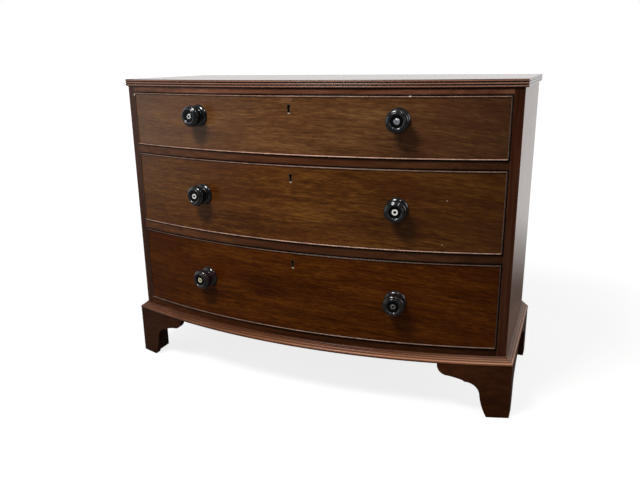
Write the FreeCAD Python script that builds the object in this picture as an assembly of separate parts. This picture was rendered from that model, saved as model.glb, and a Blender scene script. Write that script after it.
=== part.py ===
import FreeCAD, Part
import math
import os

# Bow front chest of three long drawers, in millimetres, +Z up, front towards -Y.
# Every piece is drawn with y = 0 on the line through the two front corners of the carcase,
# and is moved at export so that the origin lies under the middle of the whole chest.

Vector = FreeCAD.Vector
UP = Vector(0, 0, 1)
ACROSS = Vector(1, 0, 0)
BACK = Vector(0, 1, 0)

# ---- driving dimensions: carcase ----
carcase_width = 1040.0          # over the two side boards
side_depth = 390.0              # front corner of a side board to its back edge
bow_rise = 80.0                 # how far the middle of the front stands before its corners
side_thickness = 22.0
foot_height = 138.0             # floor to the underside of the carcase
moulding_height = 17.0
moulding_projection = 19.0
moulding_quirk = 0.8            # small upright step between the moulding's reeds
reed_bulge = 0.15               # of a reed's width, by which it stands out
bottom_rail_height = 18.0       # seen above the base moulding
opening_heights = {"lower": 214.0, "middle": 196.0, "upper": 143.0}
divider_heights = {"lower": 22.0, "upper": 20.0}
top_rail_height = 15.0
rail_depth = 45.0               # corner line to the straight back of a rail
tenon_length = 9.0
tenon_shoulder = 4.0            # rail standing round its tenon, above and below
tenon_setback = 14.0            # corner line to the front of a tenon

top_thickness = 18.0
top_reeds = 3
top_overhang_front = 4.0
top_overhang_side = 7.0
reed_relief = 2.4               # depth of the grooves between reeds

runner_width = 26.0
dust_board_thickness = 8.0
dust_board_tongue = 6.0
back_board_thickness = 9.0
back_board_count = 3
back_board_gap = 1.0
rebate_width = 11.0             # of the side board, which holds the back boards
back_rail_depth = 45.0

# ---- driving dimensions: feet ----
foot_thickness = 18.0
foot_setback = 1.0              # face of a foot behind the lower edge of the moulding
front_leg_width = 52.0
front_wing_length = 171.0
side_leg_width = 42.0
side_wing_length = 140.0
brace_length = 96.0             # board behind each back foot
brace_end_height = 52.4         # of that board's inner end, under the carcase
block_width = 33.0
block_depth = 36.0
block_floor_gap = 4.0

# ---- driving dimensions: drawers ----
front_thickness = 22.0
front_gap = 1.2                 # round each drawer front
running_gap = 0.3               # drawer side over its runner
side_headroom = 4.0             # above the drawer sides
drawer_side_thickness = 12.0
drawer_back_thickness = 10.0
drawer_back_gap = 6.0           # behind a closed drawer
drawer_bottom_thickness = 7.0
drawer_bottom_lift = 8.0        # underside of the bottom above the lower edge of the sides
groove_depth = 5.0
tail_cover = 2.0                # wood left between the end of a tail and the cockbead
pin_narrow = 3.5
pin_wide = 9.0
pin_overrun = 3.0               # a pin is drawn this much longer at both ends, then trimmed
tail_pitch = 42.0
bead_width = 4.0
bead_proud = 2.5
mitre_room = 2.0                # straight stretch of a bowed strip before its mitre
stop_length = 44.0
stop_depth = 22.0
stop_height = 5.0
stop_spacing = 500.0

# ---- driving dimensions: knobs ----
knob_spacing_half = 260.0       # knob axis from the middle of the chest
knob_heights = {"lower": 111.0, "middle": 103.0, "upper": 89.0}   # above the opening
knob_length = 41.5
knob_collar_radius = 27.0
knob_neck_radius = 16.5
knob_bulb_radius = 26.5
knob_lip_radius = 18.0
knob_lip_round = 2.2
knob_dish_depth = 3.5
knob_stem_radius = 6.0
stem_clearance = 0.1
stem_short = 1.5                # stem ends inside the inner face of the drawer front
collar_round = 1.0              # on the edge of the collar against the drawer
inlay_radius = 7.5
inlay_hole_radius = 2.6
inlay_thickness = 1.6
inlay_proud = 0.4

# ---- driving dimensions: locks ----
keyhole_drop = 32.0             # middle of a keyhole below the top of its drawer front
keyhole_height = 20.0
keyhole_radius = 4.0
keyhole_slot = 4.6
escutcheon_wall = 1.1
escutcheon_depth = 5.0
lock_width = 60.0
lock_height = 42.0
lock_depth = 12.0
lock_land = 1.0                 # wood left between a lock and the cockbead
lock_wall = 1.5
selvedge_width = 66.0
selvedge_thickness = 2.5
bolt_width = 26.0
bolt_thickness = 6.0
bolt_height = 28.0
bolt_clearance = 0.2
bolt_travel = 7.0
mortise_clearance = 1.0

# ---- driving dimensions: screws of the top ----
screw_shank_radius = 2.2
screw_head_radius = 4.4
screw_head_height = 2.6
screw_length = 25.0
screw_clearance = 0.05
screw_slot_width = 1.0
screw_slot_depth = 1.2
screw_spacing = 700.0

# ---- worked out from the sizes above ----
half_width = carcase_width / 2
inner_half_width = half_width - side_thickness
bow_radius = (half_width ** 2 + bow_rise ** 2) / (2 * bow_rise)
bow_centre_y = bow_radius - bow_rise
back_board_front = side_depth - back_board_thickness
reach = 60.0                    # spare length of cutting solids past the chest

# heights of the underside and top of each rail, and of each opening
moulding_top = foot_height + moulding_height
openings = {}
rails = {"bottom": (foot_height, moulding_top + bottom_rail_height)}
openings["lower"] = (rails["bottom"][1], rails["bottom"][1] + opening_heights["lower"])
rails["lower"] = (openings["lower"][1], openings["lower"][1] + divider_heights["lower"])
openings["middle"] = (rails["lower"][1], rails["lower"][1] + opening_heights["middle"])
rails["upper"] = (openings["middle"][1], openings["middle"][1] + divider_heights["upper"])
openings["upper"] = (rails["upper"][1], rails["upper"][1] + opening_heights["upper"])
rails["top"] = (openings["upper"][1], openings["upper"][1] + top_rail_height)
carcase_top = rails["top"][1]

# the rail that a drawer's lock shoots into
rail_above = {"lower": "lower", "middle": "upper", "upper": "top"}

knob_angle = math.asin(knob_spacing_half / bow_radius)
bead_rebate = front_thickness - lock_depth - lock_land      # how far back the cockbeads reach
tail_length = front_thickness - bead_rebate - tail_cover    # drawer side let into the front
bow_axis = Vector(0, bow_centre_y, 0)
foot_outer = moulding_projection - foot_setback             # face of the feet, out from the carcase
foot_inner = foot_outer - foot_thickness                    # inner face of the bracket boards


# ---- small building functions ----
def box(x0, x1, y0, y1, z0, z1):
    return Part.makeBox(x1 - x0, y1 - y0, z1 - z0, Vector(x0, y0, z0))


def bow_y(x, offset=0.0):
    """Where the bow, moved outwards by offset, stands at x."""
    return bow_centre_y - math.sqrt((bow_radius + offset) ** 2 - x ** 2)


def bow_solid(offset, z0, z1):
    centre = Vector(0, bow_centre_y, z0)
    return Part.makeCylinder(bow_radius + offset, z1 - z0, centre, UP)


def bowed_board(x0, x1, offset, y_back, z0, z1):
    """A board whose front edge follows the bow and whose other edges are straight."""
    blank = box(x0, x1, -bow_rise - reach, y_back, z0, z1)
    return blank.common(bow_solid(offset, z0, z1))


def curved_board(x0, x1, inner_offset, outer_offset, z0, z1):
    """A board bent to the bow on both faces."""
    blank = box(x0, x1, -bow_rise - reach, side_depth, z0, z1)
    return blank.common(bow_solid(outer_offset, z0, z1)).cut(bow_solid(inner_offset, z0, z1))


def mirrored(shape):
    return shape.mirror(Vector(0, 0, 0), ACROSS)


def prism(points, direction):
    """A solid with the given flat outline, pushed along direction."""
    outline = Part.makePolygon(points + [points[0]])
    return Part.Face(outline).extrude(direction)


def outline_edges(start, steps, place):
    """Edges through the steps: a step is (end,) for a line or (middle, end) for an arc."""
    edges = []
    here = start
    for step in steps:
        if len(step) == 1:
            edges.append(Part.makeLine(place(*here), place(*step[0])))
        else:
            arc = Part.Arc(place(*here), place(*step[0]), place(*step[1]))
            edges.append(arc.toShape())
        here = step[-1]
    return edges


def outline_face(start, steps, place):
    return Part.Face(Part.Wire(outline_edges(start, steps, place)))


def tapered_screw(tip_z, x, y, grow):
    """A countersunk wood screw standing head down, its tip at tip_z."""
    head_z = tip_z - screw_length
    head_top = Vector(x, y, head_z)
    head = Part.makeCone(screw_head_radius + grow, screw_shank_radius + grow,
                         screw_head_height, head_top, UP)
    shank_start = Vector(x, y, head_z + screw_head_height)
    shank = Part.makeCylinder(screw_shank_radius + grow, screw_length - screw_head_height,
                              shank_start, UP)
    return head.fuse(shank).removeSplitter()


def swept_along_bow(face, half_length, radius):
    """A section drawn at the middle of the bow, swept both ways round the bow's axis."""
    sweep = 2 * math.degrees(math.asin(half_length / radius))
    return face.rotated(bow_axis, UP, -sweep / 2).revolve(bow_axis, UP, sweep)


def swept_with_straight_ends(face, bowed_half):
    """A section that follows the bow as far as bowed_half, and runs on straight at both ends."""
    turn = math.asin(bowed_half / bow_radius)
    left_face = face.rotated(bow_axis, UP, -math.degrees(turn))
    left_end = left_face.extrude(Vector(-math.cos(turn), math.sin(turn), 0) * reach)
    return swept_along_bow(face, bowed_half, bow_radius).fuse([left_end, mirrored(left_end)])


# ---- edge mouldings: a section is its start and the steps up its outer side ----
def closed_section(section, inner):
    start, steps = section
    top = steps[-1][-1][1]
    return start, steps + [((-inner, top),), ((-inner, start[1]),), (start,)]


def section_on_bow(section, inner, z0):
    """The section at the middle of the front, from its outer side to inner behind the carcase's face."""
    start, steps = closed_section(section, inner)
    return outline_face(start, steps, lambda out, up: Vector(0, -bow_rise - out, z0 + up))


def run_along_side(section, inner, z0):
    """The section run straight along the right side of the chest."""
    start, steps = closed_section(section, inner)
    front_y = -bow_rise - reach
    face = outline_face(start, steps, lambda out, up: Vector(half_width + out, front_y, z0 + up))
    return face.extrude(BACK * (side_depth - front_y))


def reeded_section(overhang):
    """Half-round reeds one above the other, on the edge of the top."""
    reed_height = top_thickness / top_reeds
    groove = overhang - reed_relief
    steps = []
    for reed in range(top_reeds):
        low = reed * reed_height
        steps.append(((overhang, low + reed_height / 2), (groove, low + reed_height)))
    return (groove, 0.0), steps


def reed(low_end, high_end):
    """One rounded reed between two points, as a step of a section."""
    run = high_end[0] - low_end[0]
    rise = high_end[1] - low_end[1]
    middle = ((low_end[0] + high_end[0]) / 2 + reed_bulge * rise,
              (low_end[1] + high_end[1]) / 2 - reed_bulge * run)
    return middle, high_end


def moulding_section(projection):
    """Three reeds that step inwards and upwards: where each ends, as shares of the moulding."""
    toe = (projection, moulding_quirk)
    lower = (0.58 * projection, 0.48 * moulding_height)
    middle = (0.26 * projection, 0.73 * moulding_height)
    over_lower = (lower[0], lower[1] + moulding_quirk)
    over_middle = (middle[0], middle[1] + moulding_quirk)
    steps = [
        (toe,),
        reed(toe, lower),
        (over_lower,),
        reed(over_lower, middle),
        (over_middle,),
        reed(over_middle, (moulding_quirk, moulding_height)),
    ]
    return (projection, 0.0), steps


def mitre_front():
    """Everything in front of the two mitres at the front corners of the chest."""
    turn = math.asin((half_width - mitre_room) / bow_radius)
    outer_radius = bow_radius + moulding_projection
    straight_run = half_width + moulding_projection - outer_radius * math.sin(turn)
    corner_y = bow_centre_y - outer_radius * math.cos(turn) + straight_run * math.tan(turn)
    far_x = half_width + reach
    far_y = corner_y * reach / moulding_projection
    front_y = -bow_rise - reach
    points = [
        Vector(-half_width, 0, 0),
        Vector(half_width, 0, 0),
        Vector(far_x, far_y, 0),
        Vector(far_x, front_y, 0),
        Vector(-far_x, front_y, 0),
        Vector(-far_x, far_y, 0),
    ]
    return prism(points, UP * (moulding_top + reach))


# ---- carcase ----
def make_top(screws):
    slab_depth = bow_rise + side_depth + reach
    edge = section_on_bow(reeded_section(top_overhang_front), slab_depth, carcase_top)
    bowed = swept_along_bow(edge, half_width + reach, bow_centre_y - side_depth)
    right = run_along_side(reeded_section(top_overhang_side), half_width, carcase_top)
    straight = right.fuse(mirrored(right)).removeSplitter()
    return bowed.common(straight).cut(Part.makeCompound(screws))


def make_rail(name):
    z0, z1 = rails[name]
    board = bowed_board(-inner_half_width, inner_half_width, 0.0, rail_depth, z0, z1)
    tenon = box(-inner_half_width - tenon_length, inner_half_width + tenon_length,
                tenon_setback, rail_depth, z0 + tenon_shoulder, z1 - tenon_shoulder)
    return board.fuse(tenon).removeSplitter()


def make_back_rail():
    z0, z1 = rails["top"]
    y0 = back_board_front - back_rail_depth
    board = box(-inner_half_width, inner_half_width, y0, back_board_front, z0, z1)
    tenon = box(-inner_half_width - tenon_length, inner_half_width + tenon_length,
                y0, back_board_front - tenon_setback, z0 + tenon_shoulder, z1 - tenon_shoulder)
    return board.fuse(tenon).removeSplitter()


def runner_heights(name):
    z0, z1 = rails[name]
    return max(z0, moulding_top), z1


def make_dust_board(name):
    z0, z1 = runner_heights(name)
    middle = (z0 + z1) / 2
    half = dust_board_thickness / 2
    edge = inner_half_width - runner_width + dust_board_tongue
    return box(-edge, edge, rail_depth - dust_board_tongue, back_board_front,
               middle - half, middle + half)


def make_runners(name, dust_board):
    z0, z1 = runner_heights(name)
    right = box(inner_half_width - runner_width, inner_half_width,
                rail_depth, back_board_front, z0, z1)
    right = right.cut(dust_board)
    return [mirrored(right), right]


def make_kickers():
    z0, z1 = rails["top"]
    right = box(inner_half_width - runner_width, inner_half_width,
                rail_depth, back_board_front - back_rail_depth, z0, z1)
    return [mirrored(right), right]


def make_side(joined):
    """The right side board, rebated for the back boards and mortised for the rails."""
    board = bowed_board(inner_half_width, half_width, 0.0, side_depth, foot_height, carcase_top)
    rebate = box(inner_half_width, inner_half_width + rebate_width,
                 back_board_front, side_depth, foot_height, carcase_top)
    return board.cut(rebate).cut(Part.makeCompound(joined))


def make_back_boards():
    span = 2 * (inner_half_width + rebate_width)
    width = (span - back_board_gap * (back_board_count - 1)) / back_board_count
    boards = []
    for number in range(back_board_count):
        x0 = -span / 2 + number * (width + back_board_gap)
        boards.append(box(x0, x0 + width, back_board_front, side_depth, foot_height, carcase_top))
    return boards


def make_drawer_stops():
    """Blocks on the rails that catch the inner face of each closed drawer front."""
    stops = []
    for name in openings:
        floor = openings[name][0]
        x0 = stop_spacing / 2 - stop_length / 2
        x1 = x0 + stop_length
        y0 = bow_y(x0, -front_thickness - running_gap)
        blank = box(x0, x1, y0 - reach, y0 + stop_depth, floor, floor + stop_height)
        right = blank.common(bow_solid(-front_thickness - running_gap, floor, floor + stop_height))
        stops += [mirrored(right), right]
    return stops


def screw_places():
    """Where the top is screwed down from below: front rail, back rail and kickers."""
    front_y = rail_depth / 2
    back_y = back_board_front - back_rail_depth / 2
    kicker_x = inner_half_width - runner_width / 2
    middle_y = (front_y + back_y) / 2
    return [
        (-screw_spacing / 2, front_y), (screw_spacing / 2, front_y),
        (-screw_spacing / 2, back_y), (screw_spacing / 2, back_y),
        (-kicker_x, middle_y), (kicker_x, middle_y),
    ]


def make_top_screws(grow):
    tip_z = rails["top"][0] + screw_length
    screws = []
    for x, y in screw_places():
        screw = tapered_screw(tip_z, x, y, grow)
        if grow == 0:
            slot = box(x - screw_head_radius, x + screw_head_radius,
                       y - screw_slot_width / 2, y + screw_slot_width / 2,
                       rails["top"][0], rails["top"][0] + screw_slot_depth)
            screw = screw.cut(slot)
        screws.append(screw)
    return screws


# ---- base moulding and feet ----
def make_base_mouldings():
    section = moulding_section(moulding_projection)
    front = swept_with_straight_ends(section_on_bow(section, 0.0, foot_height), half_width - mitre_room)
    front = front.common(mitre_front())
    right = run_along_side(section, 0.0, foot_height).cut(mitre_front())
    return front, mirrored(right), right


def bracket_face(leg_width, wing_length, place):
    """Outline of a bracket foot: a flared leg, a cusp and a wing under the moulding."""
    def at(along, up):
        return (leg_width + along * (wing_length - leg_width), up * foot_height)
    steps = [
        ((leg_width, 0.0),),
        (at(0.10, 0.21), at(0.155, 0.435)),
        (at(0.25, 0.60), at(0.45, 0.675)),
        (at(0.50, 0.705),),
        (at(0.66, 0.750), at(0.83, 0.780)),
        (at(0.945, 0.845), at(1.0, 1.0)),
        ((0.0, foot_height),),
        ((0.0, 0.0),),
    ]
    return outline_face((0.0, 0.0), steps, place)


def make_front_foot():
    """The two mitred boards of the right front foot: bowed face and straight return."""
    corner_x = half_width + foot_outer
    face_outline = bracket_face(front_leg_width, front_wing_length,
                                lambda along, up: Vector(corner_x - along, -bow_rise - reach, up))
    face_blank = curved_board(0, corner_x, foot_inner, foot_outer, 0, foot_height)
    face = face_blank.common(face_outline.extrude(BACK * (bow_rise + side_depth)))
    corner_y = bow_y(corner_x, foot_outer)
    return_outline = bracket_face(side_leg_width, side_wing_length,
                                  lambda along, up: Vector(corner_x - foot_thickness, corner_y + along, up))
    side = return_outline.extrude(ACROSS * foot_thickness)
    return face.common(mitre_front()), side.cut(mitre_front())


def make_back_foot():
    """The right back foot: a side bracket and the plain brace behind it."""
    inner_x = half_width + foot_inner
    outline = bracket_face(side_leg_width, side_wing_length,
                           lambda along, up: Vector(inner_x, side_depth - along, up))
    side = outline.extrude(ACROSS * foot_thickness)
    leg_x = half_width - side_leg_width + foot_thickness
    end_x = half_width - brace_length
    brace_y = side_depth - foot_thickness
    points = [
        Vector(inner_x, brace_y, 0),
        Vector(leg_x, brace_y, 0),
        Vector(end_x, brace_y, foot_height - brace_end_height),
        Vector(end_x, brace_y, foot_height),
        Vector(inner_x, brace_y, foot_height),
    ]
    return side, prism(points, BACK * foot_thickness)


def make_foot_blocks():
    """Glue blocks inside the four feet."""
    blocks = []
    x0 = half_width - block_width
    x1 = half_width + foot_inner
    front = bowed_board(x0, x1, foot_inner, block_depth, block_floor_gap, foot_height)
    back_y = side_depth - foot_thickness
    back = box(x0, x1, back_y - block_depth, back_y, block_floor_gap, foot_height)
    for block in (front, back):
        blocks += [mirrored(block), block]
    return blocks


# ---- drawers ----
def dovetail_pins(x0, x1, y_narrow, y_wide, z0, z1):
    """Pins that a drawer front or back leaves between the tails of a drawer side.

    A pin is pin_narrow wide at y_narrow, where the tail ends, and pin_wide wide at y_wide.
    """
    count = max(2, round((z1 - z0) / tail_pitch))
    pitch = (z1 - z0) / count
    slope = (pin_wide - pin_narrow) / 2 / (y_wide - y_narrow)
    overrun = math.copysign(pin_overrun, y_wide - y_narrow)
    ends = []
    for y in (y_narrow - overrun, y_wide + overrun):
        ends.append((y, pin_narrow / 2 + slope * (y - y_narrow)))
    pins = []
    for number in range(count + 1):
        centre = z0 + number * pitch
        (ya, half_a), (yb, half_b) = ends
        points = [
            Vector(x0, ya, centre - half_a),
            Vector(x0, yb, centre - half_b),
            Vector(x0, yb, centre + half_b),
            Vector(x0, ya, centre + half_a),
        ]
        pins.append(prism(points, ACROSS * (x1 - x0)))
    return pins


def make_long_bead(width, outer_z, inner_z):
    """A cockbead with a round nose along the upper or lower edge of a drawer front.

    It follows the bow, and its ends are straight where they take the mitres.
    """
    low, high = sorted((outer_z, inner_z))
    nose_centre = bead_proud - bead_width / 2
    steps = [
        ((nose_centre, low),),
        ((bead_proud, (low + high) / 2), (nose_centre, high)),
        ((-bead_rebate, high),),
        ((-bead_rebate, low),),
    ]
    section = outline_face((-bead_rebate, low), steps, lambda out, up: Vector(0, -bow_rise - out, up))
    strip = swept_with_straight_ends(section, width - bead_width - mitre_room)
    start_y = -bow_rise - reach
    mitred = [
        Vector(-width, start_y, outer_z),
        Vector(width, start_y, outer_z),
        Vector(width - bead_width, start_y, inner_z),
        Vector(bead_width - width, start_y, inner_z),
    ]
    return strip.common(prism(mitred, BACK * side_depth))


def make_end_bead(width, z0, z1):
    """The cockbead at the right end of a drawer front."""
    nose = bead_width / 2
    nose_centre = bead_proud - nose
    nose_x = width - nose
    nose_y = bow_y(nose_x, nose_centre)
    inner_x = width - bead_width
    strip = curved_board(inner_x, width, -bead_rebate, nose_centre - nose, z0, z1)
    strip = strip.fuse(box(inner_x, width, nose_y, nose_y + bead_width, z0, z1))
    strip = strip.fuse(Part.makeCylinder(nose, z1 - z0, Vector(nose_x, nose_y, z0), UP))
    start_y = -bow_rise - reach
    mitred = [
        Vector(width, start_y, z0),
        Vector(width, start_y, z1),
        Vector(inner_x, start_y, z1 - bead_width),
        Vector(inner_x, start_y, z0 + bead_width),
    ]
    return strip.removeSplitter().common(prism(mitred, BACK * side_depth))


def make_beads(width, z0, z1):
    """Four mitred cockbeads, let into the edges of a drawer front."""
    upper = make_long_bead(width, z1, z1 - bead_width)
    lower = make_long_bead(width, z0, z0 + bead_width)
    right = make_end_bead(width, z0, z1)
    return [upper, lower, mirrored(right), right]


def keyhole(middle_z, grow, y0, y1):
    """Keyhole-shaped prism: a round top over a slot with a rounded foot."""
    radius = keyhole_radius + grow
    half_slot = keyhole_slot / 2 + grow
    round_z = middle_z + keyhole_height / 2 - keyhole_radius
    foot_z = middle_z - keyhole_height / 2 + keyhole_slot / 2
    barrel = Part.makeCylinder(radius, y1 - y0, Vector(0, y0, round_z), BACK)
    slot = box(-half_slot, half_slot, y0, y1, foot_z, round_z)
    foot = Part.makeCylinder(half_slot, y1 - y0, Vector(0, y0, foot_z), BACK)
    return barrel.fuse([slot, foot]).removeSplitter()


def lock_block(y_back, inner_y, top_z):
    """Block of a lock's case and top plate, from the front of the lock back to y_back."""
    case_top = top_z - selvedge_thickness
    case = box(-lock_width / 2, lock_width / 2, inner_y - lock_depth, y_back,
               case_top - lock_height, case_top)
    selvedge = box(-selvedge_width / 2, selvedge_width / 2, inner_y - lock_depth, y_back,
                   case_top, top_z)
    return case.fuse(selvedge).removeSplitter()


def make_lock(inner_y, top_z, keyhole_z):
    """Lock let into the back of a drawer front, with its top plate in the edge, and its bolt."""
    case_top = top_z - selvedge_thickness
    hollow = box(-lock_width / 2 + lock_wall, lock_width / 2 - lock_wall,
                 inner_y - lock_depth + lock_wall, inner_y - lock_wall,
                 case_top - lock_height + lock_wall, case_top)
    bolt_middle = inner_y - lock_depth / 2
    bolt_back = bolt_middle + bolt_thickness / 2
    bolt_front = bolt_middle - bolt_thickness / 2
    slot = box(-bolt_width / 2 - bolt_clearance, bolt_width / 2 + bolt_clearance,
               bolt_front - bolt_clearance, bolt_back + bolt_clearance, case_top, top_z)
    key_way = keyhole(keyhole_z, 0.0, inner_y - lock_depth, inner_y - lock_depth + lock_wall)
    lock = lock_block(inner_y, inner_y, top_z).cut(Part.makeCompound([hollow, slot, key_way]))
    bolt = box(-bolt_width / 2, bolt_width / 2, bolt_front, bolt_back,
               top_z - bolt_height, top_z - bolt_clearance)
    return lock, bolt


def strike_mortise(name):
    """Pocket in the rail above a drawer, which takes the lock's bolt."""
    inner_y = -bow_rise + front_thickness
    bolt_middle = inner_y - lock_depth / 2
    half_x = bolt_width / 2 + mortise_clearance
    half_y = bolt_thickness / 2 + mortise_clearance
    z0 = rails[rail_above[name]][0]
    depth = bolt_travel - front_gap + mortise_clearance
    return box(-half_x, half_x, bolt_middle - half_y, bolt_middle + half_y, z0, z0 + depth)


def knob_section():
    """Turned outline of a knob and its stem, as distance from its axis and from the drawer."""
    def at(radius, share):
        return (radius, share * knob_length)
    dish_floor = knob_length - knob_dish_depth
    lip_inner = knob_lip_radius - knob_lip_round
    lip_outer = knob_lip_radius + knob_lip_round
    lip_base = knob_length - knob_lip_round
    stem = knob_stem_radius - stem_clearance
    first_bead = knob_neck_radius + 4.2
    second_bead = knob_neck_radius + 6.2
    start = (0.0, stem_short - front_thickness)
    steps = [
        ((stem, stem_short - front_thickness),),
        ((stem, 0.0),),
        ((knob_collar_radius - collar_round, 0.0),),
        (at(knob_collar_radius, 0.036), at(knob_collar_radius - 0.5, 0.072)),
        (at(knob_collar_radius - 4.0, 0.164), at(knob_neck_radius + 3.0, 0.207)),
        (at(knob_neck_radius, 0.270), at(knob_neck_radius + 1.5, 0.337)),
        (at(first_bead, 0.378), at(first_bead - 1.8, 0.424)),
        (at(second_bead, 0.465), at(second_bead - 1.8, 0.511)),
        (at(knob_bulb_radius - 0.9, 0.626), at(knob_bulb_radius, 0.747)),
        (at(knob_bulb_radius - 1.4, 0.858), (lip_outer + 0.8, lip_base - 0.6)),
        ((lip_outer, lip_base),),
        ((knob_lip_radius, knob_length), (lip_inner, lip_base)),
        ((lip_inner - 1.2, dish_floor + 0.3), (lip_inner - 3.0, dish_floor)),
        ((0.0, dish_floor),),
        (start,),
    ]
    return start, steps


def along_bow_normal(shape, side, height):
    """Stand a piece turned about -Y on the bow at a knob's place."""
    shape.rotate(Vector(0, 0, 0), UP, side * math.degrees(knob_angle))
    x = side * knob_spacing_half
    shape.translate(Vector(x, bow_y(x), height))
    return shape


def make_knob(side, height):
    start, steps = knob_section()
    face = outline_face(start, steps, lambda out, along: Vector(out, -along, 0))
    knob = face.revolve(Vector(0, 0, 0), BACK, 360)
    dish_floor = knob_length - knob_dish_depth
    seat_depth = inlay_thickness - inlay_proud
    seat = Part.makeCylinder(inlay_radius, seat_depth + knob_dish_depth,
                             Vector(0, seat_depth - dish_floor, 0), -BACK)
    peg = Part.makeCylinder(inlay_hole_radius, seat_depth, Vector(0, seat_depth - dish_floor, 0), -BACK)
    knob = knob.cut(seat.cut(peg))
    return along_bow_normal(knob, side, height)


def make_inlay(side, height):
    """Pearl ring let into the dish of a knob."""
    seat_y = inlay_thickness - inlay_proud - (knob_length - knob_dish_depth)
    disc = Part.makeCylinder(inlay_radius, inlay_thickness, Vector(0, seat_y, 0), -BACK)
    hole = Part.makeCylinder(inlay_hole_radius, inlay_thickness, Vector(0, seat_y, 0), -BACK)
    return along_bow_normal(disc.cut(hole), side, height)


def make_stem_hole(side, height):
    hole = Part.makeCylinder(knob_stem_radius, front_thickness + reach,
                             Vector(0, front_thickness + reach / 2, 0), -BACK)
    return along_bow_normal(hole, side, height)


def make_drawer(name):
    """All pieces of one drawer, and its lock's bolt, by node name."""
    floor, ceiling = openings[name]
    width = inner_half_width - front_gap
    front_z0 = floor + front_gap
    front_z1 = ceiling - front_gap
    side_z0 = floor + running_gap
    side_z1 = ceiling - side_headroom
    bottom_z0 = side_z0 + drawer_bottom_lift
    bottom_z1 = bottom_z0 + drawer_bottom_thickness
    back_y = back_board_front - drawer_back_gap
    back_front_y = back_y - drawer_back_thickness
    inner_x = width - drawer_side_thickness
    inner_y = -bow_rise + front_thickness
    keyhole_z = front_z1 - keyhole_drop
    knob_z = floor + knob_heights[name]
    tail_offset = tail_length - front_thickness

    bottom = bowed_board(-inner_x - groove_depth, inner_x + groove_depth,
                         groove_depth - front_thickness, back_y, bottom_z0, bottom_z1)

    side = bowed_board(inner_x, width, tail_offset, back_y, side_z0, side_z1)
    middle_x = (inner_x + width) / 2
    front_pins = dovetail_pins(inner_x, width, bow_y(middle_x, tail_offset),
                               bow_y(middle_x, -front_thickness), side_z0, side_z1)
    front_zone = curved_board(inner_x, width, -front_thickness, tail_offset, side_z0, side_z1)
    back_pins = dovetail_pins(inner_x, width, back_y, back_front_y, bottom_z1, side_z1)
    back_zone = box(inner_x, width, back_front_y, back_y, bottom_z1, side_z1)
    side = side.cut(Part.makeCompound(front_pins).common(front_zone))
    side = side.cut(Part.makeCompound(back_pins).common(back_zone))
    side = side.cut(bottom)
    sides = [mirrored(side), side]

    back = box(-width, width, back_front_y, back_y, bottom_z1, side_z1)
    back = back.cut(Part.makeCompound(sides))

    lock, bolt = make_lock(inner_y, front_z1, keyhole_z)
    lock_recess = lock_block(inner_y + reach, inner_y, front_z1)
    face_y = -bow_rise
    ring = keyhole(keyhole_z, escutcheon_wall, face_y, face_y + escutcheon_depth)
    key_way = keyhole(keyhole_z, 0.0, face_y - reach, inner_y)
    escutcheon = ring.cut(key_way)
    beads = make_beads(width, front_z0, front_z1)

    front = curved_board(-width, width, -front_thickness, -bead_rebate, front_z0, front_z1)
    facing = curved_board(-width + bead_width, width - bead_width, -bead_rebate, 0.0,
                          front_z0 + bead_width, front_z1 - bead_width)
    front = front.fuse(facing).removeSplitter()
    ring_seat = keyhole(keyhole_z, escutcheon_wall, face_y - reach, face_y + escutcheon_depth)
    holes = [make_stem_hole(hand, knob_z) for hand in (-1, 1)]
    front = front.cut(Part.makeCompound(sides))
    front = front.cut(bottom)
    for opening in holes + [lock_recess, ring_seat, key_way]:
        front = front.cut(opening)

    label = "drawer_" + name
    return {
        label + "_front": front,
        label + "_cockbeads": beads,
        label + "_side_left": sides[0],
        label + "_side_right": sides[1],
        label + "_back": back,
        label + "_bottom": bottom,
        label + "_escutcheon": escutcheon,
        label + "_lock": lock,
        label + "_lock_bolt": bolt,
        label + "_knobs": [make_knob(hand, knob_z) for hand in (-1, 1)],
        label + "_pearl_rings": [make_inlay(hand, knob_z) for hand in (-1, 1)],
    }


# ---- assembly ----
def make_carcase():
    nodes = {}
    screws = make_top_screws(0.0)
    screw_holes = make_top_screws(screw_clearance)
    nodes["top_board"] = make_top(screw_holes)
    nodes["top_screws"] = screws

    rail_shapes = {name: make_rail(name) for name in rails}
    for drawer in openings:
        above = rail_above[drawer]
        rail_shapes[above] = rail_shapes[above].cut(strike_mortise(drawer))
    board_names = {"upper": "dust_board_upper", "lower": "dust_board_lower", "bottom": "bottom_board"}
    runners = []
    for name, board_name in board_names.items():
        board = make_dust_board(name)
        nodes[board_name] = board
        rail_shapes[name] = rail_shapes[name].cut(board)
        runners += make_runners(name, board)
    nodes["drawer_runners"] = runners
    screw_cutter = Part.makeCompound(screw_holes)
    rail_shapes["top"] = rail_shapes["top"].cut(screw_cutter)
    back_rail = make_back_rail().cut(screw_cutter)
    nodes["kickers"] = [kicker.cut(screw_cutter) for kicker in make_kickers()]
    nodes["rail_back"] = back_rail
    for name, shape in rail_shapes.items():
        nodes["rail_" + name] = shape

    side = make_side(list(rail_shapes.values()) + [back_rail])
    nodes["side_left"] = mirrored(side)
    nodes["side_right"] = side
    nodes["back_boards"] = make_back_boards()
    nodes["drawer_stops"] = make_drawer_stops()

    front_moulding, left_moulding, right_moulding = make_base_mouldings()
    nodes["base_moulding_front"] = front_moulding
    nodes["base_moulding_left"] = left_moulding
    nodes["base_moulding_right"] = right_moulding
    face, side_return = make_front_foot()
    nodes["foot_front_left_face"] = mirrored(face)
    nodes["foot_front_left_return"] = mirrored(side_return)
    nodes["foot_front_right_face"] = face
    nodes["foot_front_right_return"] = side_return
    back_foot, brace = make_back_foot()
    nodes["foot_back_left"] = mirrored(back_foot)
    nodes["foot_back_right"] = back_foot
    nodes["foot_back_braces"] = [mirrored(brace), brace]
    nodes["foot_blocks"] = make_foot_blocks()
    return nodes


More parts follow.
